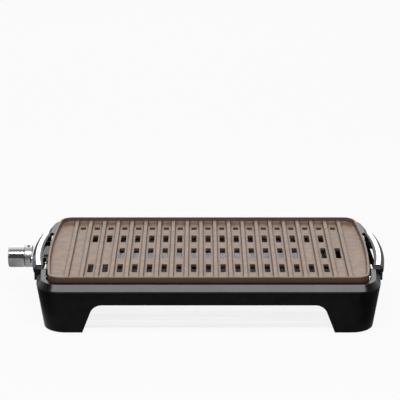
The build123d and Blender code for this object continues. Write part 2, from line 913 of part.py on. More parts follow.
def make_grip():
    bow = extrude(Pos(0, 0, grip_low) * bow_face(grip_inner, grip_outer, grip_half), grip_thick)
    uprights = bow.edges().filter_by(Axis.Z).sort_by(Axis.X)
    bow = fillet(uprights[2:], grip_corner)
    uprights = bow.edges().filter_by(Axis.Z).sort_by(Axis.X)
    bow = chamfer(uprights[:2], grip_edge)
    top_edges = bow.faces().sort_by(Axis.Z)[-1].edges().sort_by(Axis.X)
    bow = chamfer(top_edges[-1], grip_wing)
    top_edges = bow.faces().sort_by(Axis.Z)[-1].edges().sort_by(Axis.X)
    bow = chamfer(top_edges[0], grip_edge)
    foot = block(
        (handle_foot_inner, handle_foot_outer),
        (handle_foot_near, handle_foot_far),
        (handle_foot_low, grip_low + let_in),
    )
    low_edges = foot.faces().sort_by(Axis.Z)[0].edges().sort_by(Axis.X)
    foot = chamfer(low_edges[0], handle_foot_bevel)
    grip = bow + both_sides(foot)
    relief = neck_half + relief_side
    grip -= block(
        (grip_inner - 2 * grip_bow, grip_outer + overrun),
        (-relief, relief),
        (grip_low - overrun, control_z + neck_half_height + relief_gap),
    )
    inner, outer = trim_edges()
    trim_low = grip_top - trim_sink
    grip -= extrude(
        Pos(0, 0, trim_low) * bow_face(inner - slip_fit, outer + slip_fit, trim_half + slip_fit),
        trim_sink + overrun,
    )
    slot = block(
        (mount_face, bracket_reach + slip_fit),
        (bracket_far - bracket_sheet - slip_fit, bracket_far + slip_fit),
        (control_z - bracket_rise - slip_fit, control_z + bracket_rise + slip_fit),
    )
    shank = Pos(grip_screw_x, handle_foot_near, control_z - grip_screw_drop) * Rot(90, 0, 0)
    hole = shank * Cylinder(screw_shank + slip_fit, 2 * (grip_screw_length + slip_fit))
    return grip - both_sides(slot) - both_sides(hole)


def make_trim():
    inner, outer = trim_edges()
    strip = extrude(Pos(0, 0, grip_top - trim_sink) * bow_face(inner, outer, trim_half), trim_height)
    top = strip.faces().sort_by(Axis.Z)[-1].edges()
    return chamfer(top, (trim_height - trim_sink) / 2)


def make_handle_brackets():
    heights = (control_z - bracket_rise, control_z + bracket_rise)
    flange = block((mount_face, mount_face + bracket_sheet), (bracket_near, bracket_far), heights)
    web = block((mount_face, bracket_reach), (bracket_far - bracket_sheet, bracket_far), heights)
    bracket = flange + web
    hole_span = (mount_face - overrun, mount_face + bracket_sheet + overrun)
    bracket -= rod_x(*hole_span, screw_shank + slip_fit, bracket_screw_y)
    cross = Pos(grip_screw_x, bracket_far, control_z - grip_screw_drop) * Rot(90, 0, 0)
    bracket -= cross * Cylinder(screw_shank + slip_fit, 2 * (bracket_sheet + overrun))
    return four_corners(bracket)


def make_bracket_screws():
    seat = mount_face + bracket_sheet
    return four_corners(outward_screw(seat, mount_screw_length, bracket_screw_y))


def make_grip_screws():
    placed = Pos(grip_screw_x, handle_foot_near, control_z - grip_screw_drop) * Rot(90, 0, 0)
    return four_corners(placed * wide_screw(grip_screw_length))


# Control housing
def housing_outside():
    neck = guard_frame(0, neck_nose, drum_start + let_in)
    drum = rod_x(*at_left(drum_start, drum_end), drum_radius)
    rims = drum.edges().filter_by(GeomType.CIRCLE)
    return neck + fillet(rims, dial_round)


def housing_inside():
    inner_wall = drum_start + housing_wall
    neck = guard_frame(-housing_wall, neck_nose + housing_wall, inner_wall + let_in)
    drum = rod_x(*at_left(inner_wall, drum_end - housing_wall), drum_radius - housing_wall)
    return neck + drum


def housing_bores():
    """Openings in the housing for the pins, probe, spindle, cord gland and lens."""
    nose = at_left(neck_nose - overrun, neck_nose + housing_wall + overrun)
    outer_wall = at_left(drum_end - housing_wall - overrun, drum_end + overrun)
    bores = both_sides(rod_x(*nose, pin_radius + 2 * socket_bore_fit, pin_half_gap))
    bores.append(rod_x(*nose, probe_radius + slip_fit))
    bores.append(rod_x(*outer_wall, spindle_radius + 2 * slip_fit))
    gland = Pos(-gland_x, gland_start + gland_length / 2, control_z) * Rot(90, 0, 0)
    bores.append(gland * Cylinder(gland_radius + slip_fit, gland_length))
    lens_height = drum_radius - lamp_high + overrun
    lens = Pos(-gland_x, 0, control_z + lamp_high + lens_height / 2)
    bores.append(lens * Cylinder(lens_radius + slip_fit, lens_height))
    return bores


def housing_posts():
    """Screw posts in the corners of the neck, from floor to roof."""
    height = 2 * neck_half_height - housing_wall
    post = Pos(-housing_screw_x, housing_screw_y, control_z) * Cylinder(housing_boss, height)
    return both_sides(post)


def make_housings():
    """Upper and lower half of the housing, parted at the height of the probe."""
    whole = housing_outside() - housing_inside()
    whole += housing_posts()
    whole -= housing_bores()
    screw_top = control_z - neck_half_height + small_head_height + housing_screw_length
    head_pocket = 2 * (small_head_height + slip_fit)
    centre = Pos(-housing_screw_x, housing_screw_y, 0)
    pilot = centre * Pos(0, 0, screw_top / 2) * Cylinder(small_shank + slip_fit, screw_top)
    pocket = centre * Pos(0, 0, control_z - neck_half_height)
    pocket *= Cylinder(small_head + slip_fit, head_pocket)
    whole -= both_sides(pilot)
    whole -= both_sides(pocket)
    wide = block((-base_length, 0), (-base_depth, base_depth), (control_z, 2 * base_height))
    upper = whole & wide
    lower = whole - wide
    return upper, lower


def make_housing_screws():
    seat = control_z - neck_half_height + small_head_height + slip_fit
    driven = Pos(-housing_screw_x, housing_screw_y, seat) * Rot(180, 0, 0)
    return both_sides(
        driven * screw(small_shank, housing_screw_length - let_in, small_head, small_head_height)
    )


def make_probe():
    rod = rod_x(*at_left(probe_tip, probe_root), probe_radius)
    return fillet(rod.faces().sort_by(Axis.X)[-1].edges(), probe_radius / 2)


def make_contact_sockets():
    tube = rod_x(*at_left(socket_start, socket_end), socket_radius, pin_half_gap)
    bore_span = at_left(socket_start - overrun, pin_outer + overrun / 2)
    bore = rod_x(*bore_span, pin_radius + socket_bore_fit, pin_half_gap)
    return both_sides(tube - bore)


def make_thermostat_frame():
    low = control_z - frame_low
    strip = block(at_left(frame_start, bearing_end), (-frame_half, frame_half), (low, low + frame_sheet))
    front = block(
        at_left(frame_start, frame_start + frame_sheet),
        (-frame_half, frame_half),
        (low, control_z + frame_high),
    )
    bearing = block(
        at_left(bearing_start, bearing_end), (-frame_half, frame_half), (low, control_z + bearing_high)
    )
    frame = strip + front + bearing
    frame -= rod_x(*at_left(frame_start - overrun, frame_start + overrun), probe_radius + slip_fit)
    bearing_span = at_left(bearing_start - overrun, bearing_end + overrun)
    return frame - rod_x(*bearing_span, spindle_radius + spindle_fit)


def make_bimetal_blade():
    low = control_z + frame_high
    return block(at_left(frame_start, bearing_end), (-blade_half, blade_half), (low, low + blade_thick))


def make_contact_points():
    low = control_z + bearing_high
    high = control_z + frame_high
    middle = (low + high) / 2
    fixed = Pos(-contact_x, 0, (low + middle) / 2) * Cylinder(contact_radius, middle - low)
    moving = Pos(-contact_x, 0, (middle + high) / 2) * Cylinder(contact_radius, high - middle)
    moving = chamfer(moving.faces().sort_by(Axis.Z)[0].edges(), contact_height / 4)
    return [fixed, moving]


def make_cord_gland():
    sleeve = Cone(gland_radius, gland_tip, gland_length)
    sleeve -= Cylinder(gland_bore, gland_length + overrun)
    return Pos(-gland_x, gland_start + gland_length / 2, control_z) * Rot(-90, 0, 0) * sleeve


def make_indicator_lens():
    middle = control_z + lens_root + lens_length / 2
    lens = Pos(-gland_x, 0, middle) * Cylinder(lens_radius, lens_length)
    return fillet(lens.faces().sort_by(Axis.Z)[-1].edges(), lens_edge)


def make_indicator_lamp():
    middle = control_z + lamp_low + lamp_length / 2
    lamp = Pos(-gland_x, 0, middle) * Cylinder(lamp_radius, lamp_length)
    return fillet(lamp.faces().sort_by(Axis.Z)[-1].edges(), lens_edge)


# Dial
def make_dial_knob():
    core = drum_radius - sleeve_wall - sleeve_fit
    knob = rod_x(*at_left(dial_start, knob_end), core)
    hollow = rod_x(*at_left(dial_start - overrun, knob_hollow_end), core - knob_skin)
    hollow -= rod_x(*at_left(dial_start - overrun, knob_hollow_end), knob_hub)
    bore = rod_x(*at_left(dial_start - overrun, spindle_end + slip_fit), spindle_radius + spindle_fit)
    return knob - hollow - bore


def make_dial_sleeve():
    tube = rod_x(*at_left(dial_start, dial_end), drum_radius)
    tube = fillet(tube.faces().sort_by(Axis.X)[0].edges(), sleeve_round)
    tube = fillet(tube.faces().sort_by(Axis.X)[-1].edges(), dial_round)
    return tube - rod_x(*at_left(dial_start - overrun, dial_end + overrun), drum_radius - sleeve_wall)


def make_dial_face():
    disc = rod_x(*at_left(face_start, face_end), drum_radius - sleeve_wall - sleeve_fit)
    return chamfer(disc.faces().sort_by(Axis.X)[0].edges(), face_edge)


def make_dial_spindle():
    return rod_x(*at_left(spindle_start, spindle_end), spindle_radius)


def make_spindle_clip():
    span = at_left(spindle_clip_start, spindle_clip_end)
    clip = rod_x(*span, spindle_clip_radius)
    bore_span = at_left(spindle_clip_start - overrun, spindle_clip_end + overrun)
    clip -= rod_x(*bore_span, spindle_radius + spindle_fit)
    mouth_half = spindle_radius / 2
    mouth = block(span, (0, drum_radius), (control_z - mouth_half, control_z + mouth_half))
    return clip - mouth


# Write every piece to its own file
def write(name, piece):
    """Move one named node to the grill's own origin and save it; a list becomes a group of solids."""
    parts = piece if isinstance(piece, list) else [piece]
    solids = [Pos(centring, 0, 0) * solid for part in parts for solid in part.solids()]
    whole = solids[0] if len(solids) == 1 else Compound(children=solids)
    export_step(whole, f"parts/{name}.step")


def main():
    os.makedirs("parts", exist_ok=True)
    upper_housing, lower_housing = make_housings()
    right_grip = make_grip()
    right_trim = make_trim()
    pieces = {
        "base_shell": make_base_shell(),
        "steel_reflector": make_reflector(),
        "reflector_screws": make_reflector_screws(),
        "rubber_feet": make_rubber_feet(),
        "rest_clips": make_rest_clips(),
        "drip_tray": make_drip_tray(),
        "grill_plate": make_grill_plate(),
        "heating_element": make_heating_element(),
        "terminal_pins": make_terminal_pins(),
        "terminal_insulators": make_terminal_insulators(),
        "socket_guard": make_socket_guard(),
        "socket_guard_screws": make_socket_guard_screws(),
        "right_handle_grip": right_grip,
        "left_handle_grip": mirror(right_grip, about=Plane.YZ),
        "right_handle_trim": right_trim,
        "left_handle_trim": mirror(right_trim, about=Plane.YZ),
        "handle_brackets": make_handle_brackets(),
        "bracket_screws": make_bracket_screws(),
        "grip_screws": make_grip_screws(),
        "upper_housing": upper_housing,
        "lower_housing": lower_housing,
        "housing_screws": make_housing_screws(),
        "temperature_probe": make_probe(),
        "contact_sockets": make_contact_sockets(),
        "thermostat_frame": make_thermostat_frame(),
        "bimetal_blade": make_bimetal_blade(),
        "contact_points": make_contact_points(),
        "cord_gland": make_cord_gland(),
        "indicator_lens": make_indicator_lens(),
        "indicator_lamp": make_indicator_lamp(),
        "dial_knob": make_dial_knob(),
        "dial_sleeve": make_dial_sleeve(),
        "dial_face": make_dial_face(),
        "dial_spindle": make_dial_spindle(),
        "spindle_clip": make_spindle_clip(),
    }
    for name, piece in pieces.items():
        write(name, piece)


main()
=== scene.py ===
# %% [markdown]
# # A smokeless indoor grill, dressed for the studio
# The solids of this grill come ready made and already sit where they belong.
# This lesson gives them a studio, real finishes and the small forms that solids leave out.
# Every length is in metres. X runs along the grill with its control at -X, -Y is the front and Z is up.

# %% Load the solids
import json
import math

import bpy
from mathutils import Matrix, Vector


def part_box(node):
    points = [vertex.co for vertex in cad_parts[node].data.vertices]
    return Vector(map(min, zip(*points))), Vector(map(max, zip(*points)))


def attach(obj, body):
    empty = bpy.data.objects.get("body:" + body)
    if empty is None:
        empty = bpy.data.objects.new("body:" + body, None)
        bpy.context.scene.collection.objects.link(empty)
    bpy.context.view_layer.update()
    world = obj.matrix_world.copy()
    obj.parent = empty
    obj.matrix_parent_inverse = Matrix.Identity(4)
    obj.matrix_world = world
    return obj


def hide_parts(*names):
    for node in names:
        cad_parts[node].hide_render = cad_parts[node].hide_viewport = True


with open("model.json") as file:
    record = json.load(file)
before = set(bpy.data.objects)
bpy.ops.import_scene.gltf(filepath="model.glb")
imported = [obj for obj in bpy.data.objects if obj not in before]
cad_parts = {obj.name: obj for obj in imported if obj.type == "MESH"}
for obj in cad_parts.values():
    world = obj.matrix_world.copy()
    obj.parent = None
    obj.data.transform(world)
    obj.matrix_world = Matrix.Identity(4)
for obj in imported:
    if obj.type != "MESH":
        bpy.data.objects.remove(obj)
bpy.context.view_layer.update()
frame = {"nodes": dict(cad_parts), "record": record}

# %% [markdown]
# ## Where things are
# The base, the tray and the plate share one middle line, which isn't the middle of the whole grill,
# because the control stands out at one end. Later pieces are placed from this line and from the
# solids' own boxes, so none of them is fitted by eye.

# %% Measure the base
base_low, base_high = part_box("base_shell")
middle_x = (base_low.x + base_high.x) / 2
print("middle line at x", round(middle_x, 4), "and the base", round(base_high.z, 4), "high")

# %% [markdown]
# ## Camera
# The picture was taken from the front, a little above, through a long lens: the far edge of the
# plate is nearly as long as the near one. A camera close by with a short lens would frame the
# same thing, but its lines would run together much faster. So it stands well back.

# %% Set up the camera
image_width = 400
focal_pixels = 1604
sensor_width = 36
far_clip = 60
camera_distance = 2.4
camera_tilt = math.radians(19.25)
aim_left = 0.0124
aim_height = 0.157
aim = Vector((middle_x - aim_left, 0, aim_height))
back = Vector((0, -math.cos(camera_tilt), math.sin(camera_tilt)))
camera_data = bpy.data.cameras.new("studio camera")
camera_data.sensor_width = sensor_width
camera_data.lens = focal_pixels / image_width * sensor_width
camera_data.clip_end = far_clip
camera = bpy.data.objects.new("studio camera", camera_data)
camera.location = aim + back * camera_distance
camera.rotation_mode = "QUATERNION"
camera.rotation_quaternion = (-back).to_track_quat("-Z", "Y")
bpy.context.scene.collection.objects.link(camera)
bpy.context.scene.camera = camera
bpy.context.scene.view_settings.view_transform = "Standard"
print("lens", round(camera_data.lens, 1), "mm, camera at", tuple(camera.location))

# %% [markdown]
# ## Node trees in a few words
# Floor, world, finishes and swept shapes are all made of nodes. Each could be wired by hand in
# Blender's editor. Written down, the same few steps come again and again, so they get a name each.


# %% Helpers for node trees
def add_node(tree, kind, values=None, **settings):
    """A node with its settings and the plain values of its sockets."""
    node = tree.nodes.new(kind)
    for name, value in settings.items():
        setattr(node, name, value)
    for socket, value in (values or {}).items():
        node.inputs[socket].default_value = value
    return node


def join(tree, source, target):
    """Link another node's output to a socket, or set the socket's own value."""
    if isinstance(source, bpy.types.NodeSocket):
        tree.links.new(source, target)
    else:
        target.default_value = source


def calculate(tree, operation, *terms):
    """One step of arithmetic on values and other nodes' outputs."""
    node = add_node(tree, "ShaderNodeMath", operation=operation)
    for term, socket in zip(terms, node.inputs):
        join(tree, term, socket)
    return node.outputs[0]


def spread(tree, source, low, high, at_low=0.0, at_high=1.0, curve="LINEAR"):
    """Turn the range from low to high into another one, held at its ends."""
    node = add_node(tree, "ShaderNodeMapRange", interpolation_type=curve)
    join(tree, source, node.inputs["Value"])
    join(tree, low, node.inputs["From Min"])
    join(tree, high, node.inputs["From Max"])
    join(tree, at_low, node.inputs["To Min"])
    join(tree, at_high, node.inputs["To Max"])
    return node.outputs["Result"]


def along(tree, vector, axis):
    """How far a vector reaches along one axis."""
    split = add_node(tree, "ShaderNodeSeparateXYZ")
    join(tree, vector, split.inputs[0])
    return split.outputs[axis]


def coordinates(tree, kind):
    """Where a point is on its own piece, or the way that the surface points there."""
    return add_node(tree, "ShaderNodeTexCoord").outputs[kind]


def show_either(tree, output_kind, mask, at_zero, at_one):
    """Mix two shaders by a mask and put the result out."""
    mix = add_node(tree, "ShaderNodeMixShader")
    leave = add_node(tree, output_kind)
    join(tree, mask, mix.inputs["Fac"])
    join(tree, at_zero.outputs[0], mix.inputs[1])
    join(tree, at_one.outputs[0], mix.inputs[2])
    join(tree, mix.outputs[0], leave.inputs["Surface"])


# %% [markdown]
# ## Floor
# A catalogue picture has no visible room. One wide pale floor and a pale world give that, and the
# floor still has to show a soft shadow, or the grill would float. The floor is therefore a mix of
# a real matt surface and of plain white, and the white is only there for rays that look at it,
# mirror it or pass through glass to it, so it adds no light of its own. For everything but the
# camera the floor is pale only under the grill and close around it, like a white card laid there
# for the steel to mirror. Further out it is darker, and the knob and the black walls mirror that.


# %% Shade the floor
def seen_mask(tree):
    """1 for rays that look straight at a surface, mirror it or pass through glass to it."""
    path = add_node(tree, "ShaderNodeLightPath").outputs
    direct = calculate(tree, "MAXIMUM", path["Is Camera Ray"], path["Is Glossy Ray"])
    return calculate(tree, "MAXIMUM", direct, path["Is Transmission Ray"])


floor_white_share = 0.92
pale_grey = 0.6
dark_grey = 0.22
card_half_length = 0.20
card_half_depth = 0.21
card_fade = 0.09
floor_material = bpy.data.materials.new("pale floor")
floor_material.use_nodes = True
tree = floor_material.node_tree
tree.nodes.clear()
place = coordinates(tree, "Object")
fades = []
for axis, card_half in (("X", card_half_length), ("Y", card_half_depth)):
    distance = calculate(tree, "ABSOLUTE", along(tree, place, axis))
    card_end = card_half + card_fade
    fade = spread(tree, distance, card_half, card_end, at_low=1.0, at_high=0.0, curve="SMOOTHSTEP")
    fades.append(fade)
card = calculate(tree, "MULTIPLY", *fades)
camera_ray = add_node(tree, "ShaderNodeLightPath").outputs["Is Camera Ray"]
pale = calculate(tree, "MAXIMUM", camera_ray, card)
matt = add_node(tree, "ShaderNodeBsdfDiffuse")
join(tree, spread(tree, pale, 0.0, 1.0, dark_grey, pale_grey), matt.inputs["Color"])
white = add_node(tree, "ShaderNodeEmission", {"Strength": 1.0})
seen_white = calculate(tree, "MULTIPLY", seen_mask(tree), floor_white_share)
white_part = calculate(tree, "MULTIPLY", seen_white, pale)
show_either(tree, "ShaderNodeOutputMaterial", white_part, matt, white)
print("floor shader has", len(tree.nodes), "nodes")

# %% Lay the floor
floor_size = 30.0
half = floor_size / 2
corner_shade = [(-half, -half, 0), (half, -half, 0), (half, half, 0), (-half, half, 0)]
floor_mesh = bpy.data.meshes.new("floor")
floor_mesh.from_pydata(corner_shade, [], [(0, 1, 2, 3)])
floor_mesh.materials.append(floor_material)
floor = bpy.data.objects.new("floor", floor_mesh)
bpy.context.scene.collection.objects.link(floor)
print("floor", floor_size, "m wide")

# %% [markdown]
# ## Lights
# The level faces of the plate shine pale while its upright faces stay dark brown, and the black
# base has hardly a highlight below its bevel. That means light from high up and from behind, and
# little that comes in level from the front. A wide lamp hangs high in front, where the bevel of
# the base mirrors it, a second one stands behind, and a weak one fills in from the front left.


# %% Hang the lamps
def hang_soft_lamp(name, place, target, width, depth, power):
    lamp = bpy.data.lights.new(name, "AREA")
    lamp.shape = "RECTANGLE"
    lamp.size = width
    lamp.size_y = depth
    lamp.energy = power
    holder = bpy.data.objects.new(name, lamp)
    holder.location = place
    holder.rotation_mode = "QUATERNION"
    holder.rotation_quaternion = (Vector(target) - Vector(place)).to_track_quat("-Z", "Y")
    bpy.context.scene.collection.objects.link(holder)
    print(name, power, "W")


grill_foot = (0, 0, 0)
grill_body = (0, 0, 0.05)
hang_soft_lamp("top lamp", (0, -0.98, 1.5), grill_foot, width=2.4, depth=0.5, power=26)
hang_soft_lamp("rear lamp", (-0.2, 2.1, 1.1), grill_body, width=2.2, depth=1.0, power=8)
hang_soft_lamp("front fill", (-1.3, -1.8, 1.2), grill_body, width=0.8, depth=0.8, power=1.2)

# %% [markdown]
# ## World
# Polished metal has no colour of its own: the knob is white on top and black across its middle
# because the room is. So the world is pale behind the grill, grey overhead and nearly black in
# front, and plain white where the camera looks straight at it.

# %% Shade the world
front_strength = 0.05
rear_strength = 0.85
front_end = -0.4
rear_end = 0.65
white_strength = 1.0
world = bpy.data.worlds.new("pale room")
world.use_nodes = True
bpy.context.scene.world = world
tree = world.node_tree
tree.nodes.clear()
towards_rear = along(tree, coordinates(tree, "Generated"), "Y")
strength = spread(tree, towards_rear, front_end, rear_end, front_strength, rear_strength, "SMOOTHSTEP")
room = add_node(tree, "ShaderNodeBackground", {"Color": (1, 1, 1, 1)})
join(tree, strength, room.inputs["Strength"])
backdrop = add_node(tree, "ShaderNodeBackground", {"Color": (1, 1, 1, 1), "Strength": white_strength})
camera_ray = add_node(tree, "ShaderNodeLightPath").outputs["Is Camera Ray"]
show_either(tree, "ShaderNodeOutputWorld", camera_ray, room, backdrop)
print("world from", front_strength, "in front to", rear_strength, "behind")

# %% [markdown]
# ## Effects that several finishes share
# Moulded plastic, coated metal and rubber all have a fine grain. Rolled and brushed metals have
# lines instead. Large soft smudges make any of them shine a little unevenly. Each effect is
# one node group with sizes as inputs, so a material places it and gives it its own numbers.
# Grain and lines are the same two layers of noise: lines are grain drawn out along one axis.


# %% Build the shared effects
def start_tree(name, kind, inputs, outputs):
    """An empty tree whose inputs and outputs are given as a name and a kind of socket."""
    tree = bpy.data.node_groups.new(name, kind)
    for label, socket_kind in inputs.items():
        tree.interface.new_socket(label, in_out="INPUT", socket_type=socket_kind)
    for label, socket_kind in outputs.items():
        tree.interface.new_socket(label, in_out="OUTPUT", socket_type=socket_kind)
    return tree, add_node(tree, "NodeGroupInput"), add_node(tree, "NodeGroupOutput")


def add_noise(tree, place, per_metre, detail, roughness=0.5):
    """A cloudy value that changes so many times in a metre."""
    noise = add_node(tree, "ShaderNodeTexNoise", {"Detail": detail, "Roughness": roughness})
    join(tree, place, noise.inputs["Vector"])
    join(tree, per_metre, noise.inputs["Scale"])
    return noise.outputs["Fac"]


def build_marks(name, stretch, fine_detail, fine_roughness, coarse_detail, coarse_share):
    """Fine marks for the height, with a second and much coarser layer for the shade."""
    tree, entry, leave = start_tree(
        name,
        "ShaderNodeTree",
        {"Place": "NodeSocketVector", "Per metre": "NodeSocketFloat"},
        {"Height": "NodeSocketFloat", "Shade": "NodeSocketFloat"},
    )
    stretched = add_node(tree, "ShaderNodeVectorMath", {1: stretch}, operation="MULTIPLY")
    join(tree, entry.outputs["Place"], stretched.inputs[0])
    place = stretched.outputs[0]
    per_metre = entry.outputs["Per metre"]
    coarse_per_metre = calculate(tree, "MULTIPLY", per_metre, coarse_share)
    fine = add_noise(tree, place, per_metre, fine_detail, fine_roughness)
    coarse = add_noise(tree, place, coarse_per_metre, coarse_detail)
    join(tree, fine, leave.inputs["Height"])
    join(tree, coarse, leave.inputs["Shade"])
    return tree


def build_smudges(detail, roughness, cloud_low, cloud_high):
    """A slow change between two values, for shine that isn't even."""
    tree, entry, leave = start_tree(
        "smudges",
        "ShaderNodeTree",
        {
            "Place": "NodeSocketVector",
            "Per metre": "NodeSocketFloat",
            "Low": "NodeSocketFloat",
            "High": "NodeSocketFloat",
        },
        {"Value": "NodeSocketFloat"},
    )
    sockets = entry.outputs
    cloud = add_noise(tree, sockets["Place"], sockets["Per metre"], detail, roughness)
    value = spread(tree, cloud, cloud_low, cloud_high, sockets["Low"], sockets["High"])
    join(tree, value, leave.inputs["Value"])
    return tree


fine_grain = build_marks(
    "fine grain",
    stretch=(1.0, 1.0, 1.0),
    fine_detail=2.0,
    fine_roughness=0.55,
    coarse_detail=3.0,
    coarse_share=0.06,
)
rolled_lines = build_marks(
    "rolled lines",
    stretch=(0.012, 1.0, 1.0),
    fine_detail=3.0,
    fine_roughness=0.6,
    coarse_detail=2.0,
    coarse_share=0.08,
)
smudges = build_smudges(detail=4.0, roughness=0.6, cloud_low=0.3, cloud_high=0.7)
print("shared effects", [group.name for group in bpy.data.node_groups])

# %% [markdown]
# ## How a finish is put together
# Every finish starts the same way, with marks of one kind and a shine that varies between two
# values. Its colour varies between two tones, and bumps come last, over slightly softened edges.
# A finish with nothing else to it is one call, and the plate, the base, the tray and the
# reflector add steps of their own.


# %% Helpers for finishes
# A Mix node has its two colours and their blend at these places among its sockets.
mix_first = 6
mix_second = 7
mix_result = 2
bevel_samples = 6
soft_edge = 0.0005


def place_effect(tree, group, place, **values):
    """Place a shared effect; its inputs are named in plain words with _ for a space."""
    node = add_node(tree, "ShaderNodeGroup", node_tree=group)
    join(tree, place, node.inputs["Place"])
    for label, value in values.items():
        node.inputs[label.replace("_", " ")].default_value = value
    return node.outputs


def blend_colours(tree, mask, at_zero, at_one):
    """A colour between two others, each a plain colour or another node's output."""
    node = add_node(tree, "ShaderNodeMix", data_type="RGBA")
    join(tree, mask, node.inputs["Factor"])
    join(tree, at_zero, node.inputs[mix_first])
    join(tree, at_one, node.inputs[mix_second])
    return node.outputs[mix_result]


def two_tones(tree, mask, tones, low=0.35, high=0.65):
    """A colour between a dark and a light tone."""
    dark, light = tones
    return blend_colours(tree, spread(tree, mask, low, high), (*dark, 1), (*light, 1))


def facing(tree, axis, low, high, at_low=0.0, at_high=1.0):
    """A value that follows how far the surface points along an axis."""
    direction = along(tree, coordinates(tree, "Normal"), axis)
    return spread(tree, direction, low, high, at_low, at_high)


def start_finish(name, metallic, effect, per_metre, tones, shine, smudges_per_metre):
    """A material with its marks and uneven shine, and plain values for where nodes aren't read."""
    material = bpy.data.materials.new(name)
    material.use_nodes = True
    tree = material.node_tree
    shader = tree.nodes["Principled BSDF"].inputs
    dark, light = tones
    low, high = shine
    shader["Base Color"].default_value = (*light, 1)
    shader["Roughness"].default_value = low
    shader["Metallic"].default_value = metallic
    place = coordinates(tree, "Object")
    marks = place_effect(tree, effect, place, Per_metre=per_metre)
    sheen = place_effect(tree, smudges, place, Per_metre=smudges_per_metre, Low=low, High=high)
    join(tree, sheen["Value"], shader["Roughness"])
    return material, tree, shader, place, marks


def raise_bumps(tree, shader, height, depth, edge=soft_edge):
    """Bumps over softened edges, because no moulded or pressed edge is truly sharp."""
    softened = add_node(tree, "ShaderNodeBevel", {"Radius": edge}, samples=bevel_samples)
    bump = add_node(tree, "ShaderNodeBump", {"Distance": depth})
    join(tree, softened.outputs["Normal"], bump.inputs["Normal"])
    join(tree, height, bump.inputs["Height"])
    join(tree, bump.outputs["Normal"], shader["Normal"])


def plain_finish(name, tones, depth, own_values=None, **start):
    """A whole finish that needs no steps of its own."""
    material, tree, shader, place, marks = start_finish(name, tones=tones, **start)
    for socket, value in (own_values or {}).items():
        shader[socket].default_value = value
    join(tree, two_tones(tree, marks["Shade"], tones), shader["Base Color"])
    raise_bumps(tree, shader, marks["Height"], depth)
    return material


# %% [markdown]
# ## Copper-brown coat
# The plate is cast aluminium under a baked brown coat with fine flakes in it. The coat is a
# paint, not a metal: seen at a low angle its level faces mirror the pale room behind and look
# pale, while its upright faces stay brown. Cells of under a millimetre stand for the flakes.
# Upright faces get a darker brown as painted shade, and tight corners, found by an occlusion node, a
# darker brown still as painted shade.

# %% Finish the grill plate
flakes_per_metre = 1400.0
flake_share = 0.4
flake_low = 0.4
flake_high = 0.95
# Painted shade: upright faces of the coat take a darker brown in its colour, between these two slopes.
shade_upright = 0.25
shade_level = 0.75
painted_upright_shade = (0.135, 0.085, 0.058, 1)
painted_corner_shade = (0.04, 0.023, 0.015, 1)
corner_reach = 0.004
corner_samples = 8
corner_closed = 0.35
corner_open = 0.95
coat_soft_edge = 0.0007


def coat_finish():
    tones = ((0.165, 0.095, 0.058), (0.31, 0.196, 0.13))
    material, tree, shader, place, marks = start_finish(
        "copper-brown coat",
        metallic=0.0,
        effect=fine_grain,
        per_metre=1600.0,
        tones=tones,
        shine=(0.39, 0.41),
        smudges_per_metre=22.0,
    )
    flakes = add_node(tree, "ShaderNodeTexVoronoi", {"Scale": flakes_per_metre})
    join(tree, place, flakes.inputs["Vector"])
    flaked = calculate(tree, "MULTIPLY_ADD", flakes.outputs["Distance"], flake_share, marks["Shade"])
    brown = two_tones(tree, flaked, tones, flake_low, flake_high)
    # Painted shade: the brown turns darker on upright faces.
    levelness = facing(tree, "Z", shade_upright, shade_level)
    upright_shaded_brown = blend_colours(tree, levelness, painted_upright_shade, brown)
    # Painted shade: corners that the occlusion node finds closed take a near-black brown.
    reach = {"Distance": corner_reach}
    corner_shade = add_node(tree, "ShaderNodeAmbientOcclusion", reach, samples=corner_samples)
    openness = spread(tree, corner_shade.outputs["AO"], corner_closed, corner_open)
    colour = blend_colours(tree, openness, painted_corner_shade, upright_shaded_brown)
    join(tree, colour, shader["Base Color"])
    raise_bumps(tree, shader, marks["Height"], depth=0.00004, edge=coat_soft_edge)
    return material


finishes = {"coat": coat_finish()}
print("coat with", flakes_per_metre, "flakes per metre")

# %% [markdown]
# ## Black plastics
# The base is a black moulding with satin walls and a polished rim, and the handles and the guard
# are a duller black that stays cool. Both are really a very dark grey, and their shape shows
# only in what they mirror, so roughness and gloss matter far more here than colour.

# %% Finish the plastics
rim_height = 0.009
rim_blend = 0.002
wall_gloss = 0.06
rim_gloss = 0.45
grip_gloss = 0.3
plastic = {"metallic": 0.0, "effect": fine_grain, "smudges_per_metre": 18.0}


def base_finish():
    """Satin walls and inside, with a polished rim, which is where the light runs along the base."""
    tones = ((0.003, 0.003, 0.0033), (0.006, 0.006, 0.0065))
    material, tree, shader, place, marks = start_finish(
        "gloss black plastic", per_metre=1100.0, tones=tones, shine=(0.2, 0.24), **plastic
    )
    rim_foot = base_high.z - rim_height
    height = along(tree, place, "Z")
    gloss = spread(tree, height, rim_foot - rim_blend, rim_foot, wall_gloss, rim_gloss)
    join(tree, gloss, shader["Specular IOR Level"])
    join(tree, two_tones(tree, marks["Shade"], tones), shader["Base Color"])
    raise_bumps(tree, shader, marks["Height"], depth=0.000006)
    return material


finishes["base plastic"] = base_finish()
finishes["grip plastic"] = plain_finish(
    "dull black plastic",
    tones=((0.004, 0.004, 0.0045), (0.008, 0.008, 0.0085)),
    shine=(0.3, 0.36),
    per_metre=1500.0,
    depth=0.00002,
    own_values={"Specular IOR Level": grip_gloss},
    **plastic,
)
print("gloss of the walls, the rim and the handles", wall_gloss, rim_gloss, grip_gloss)
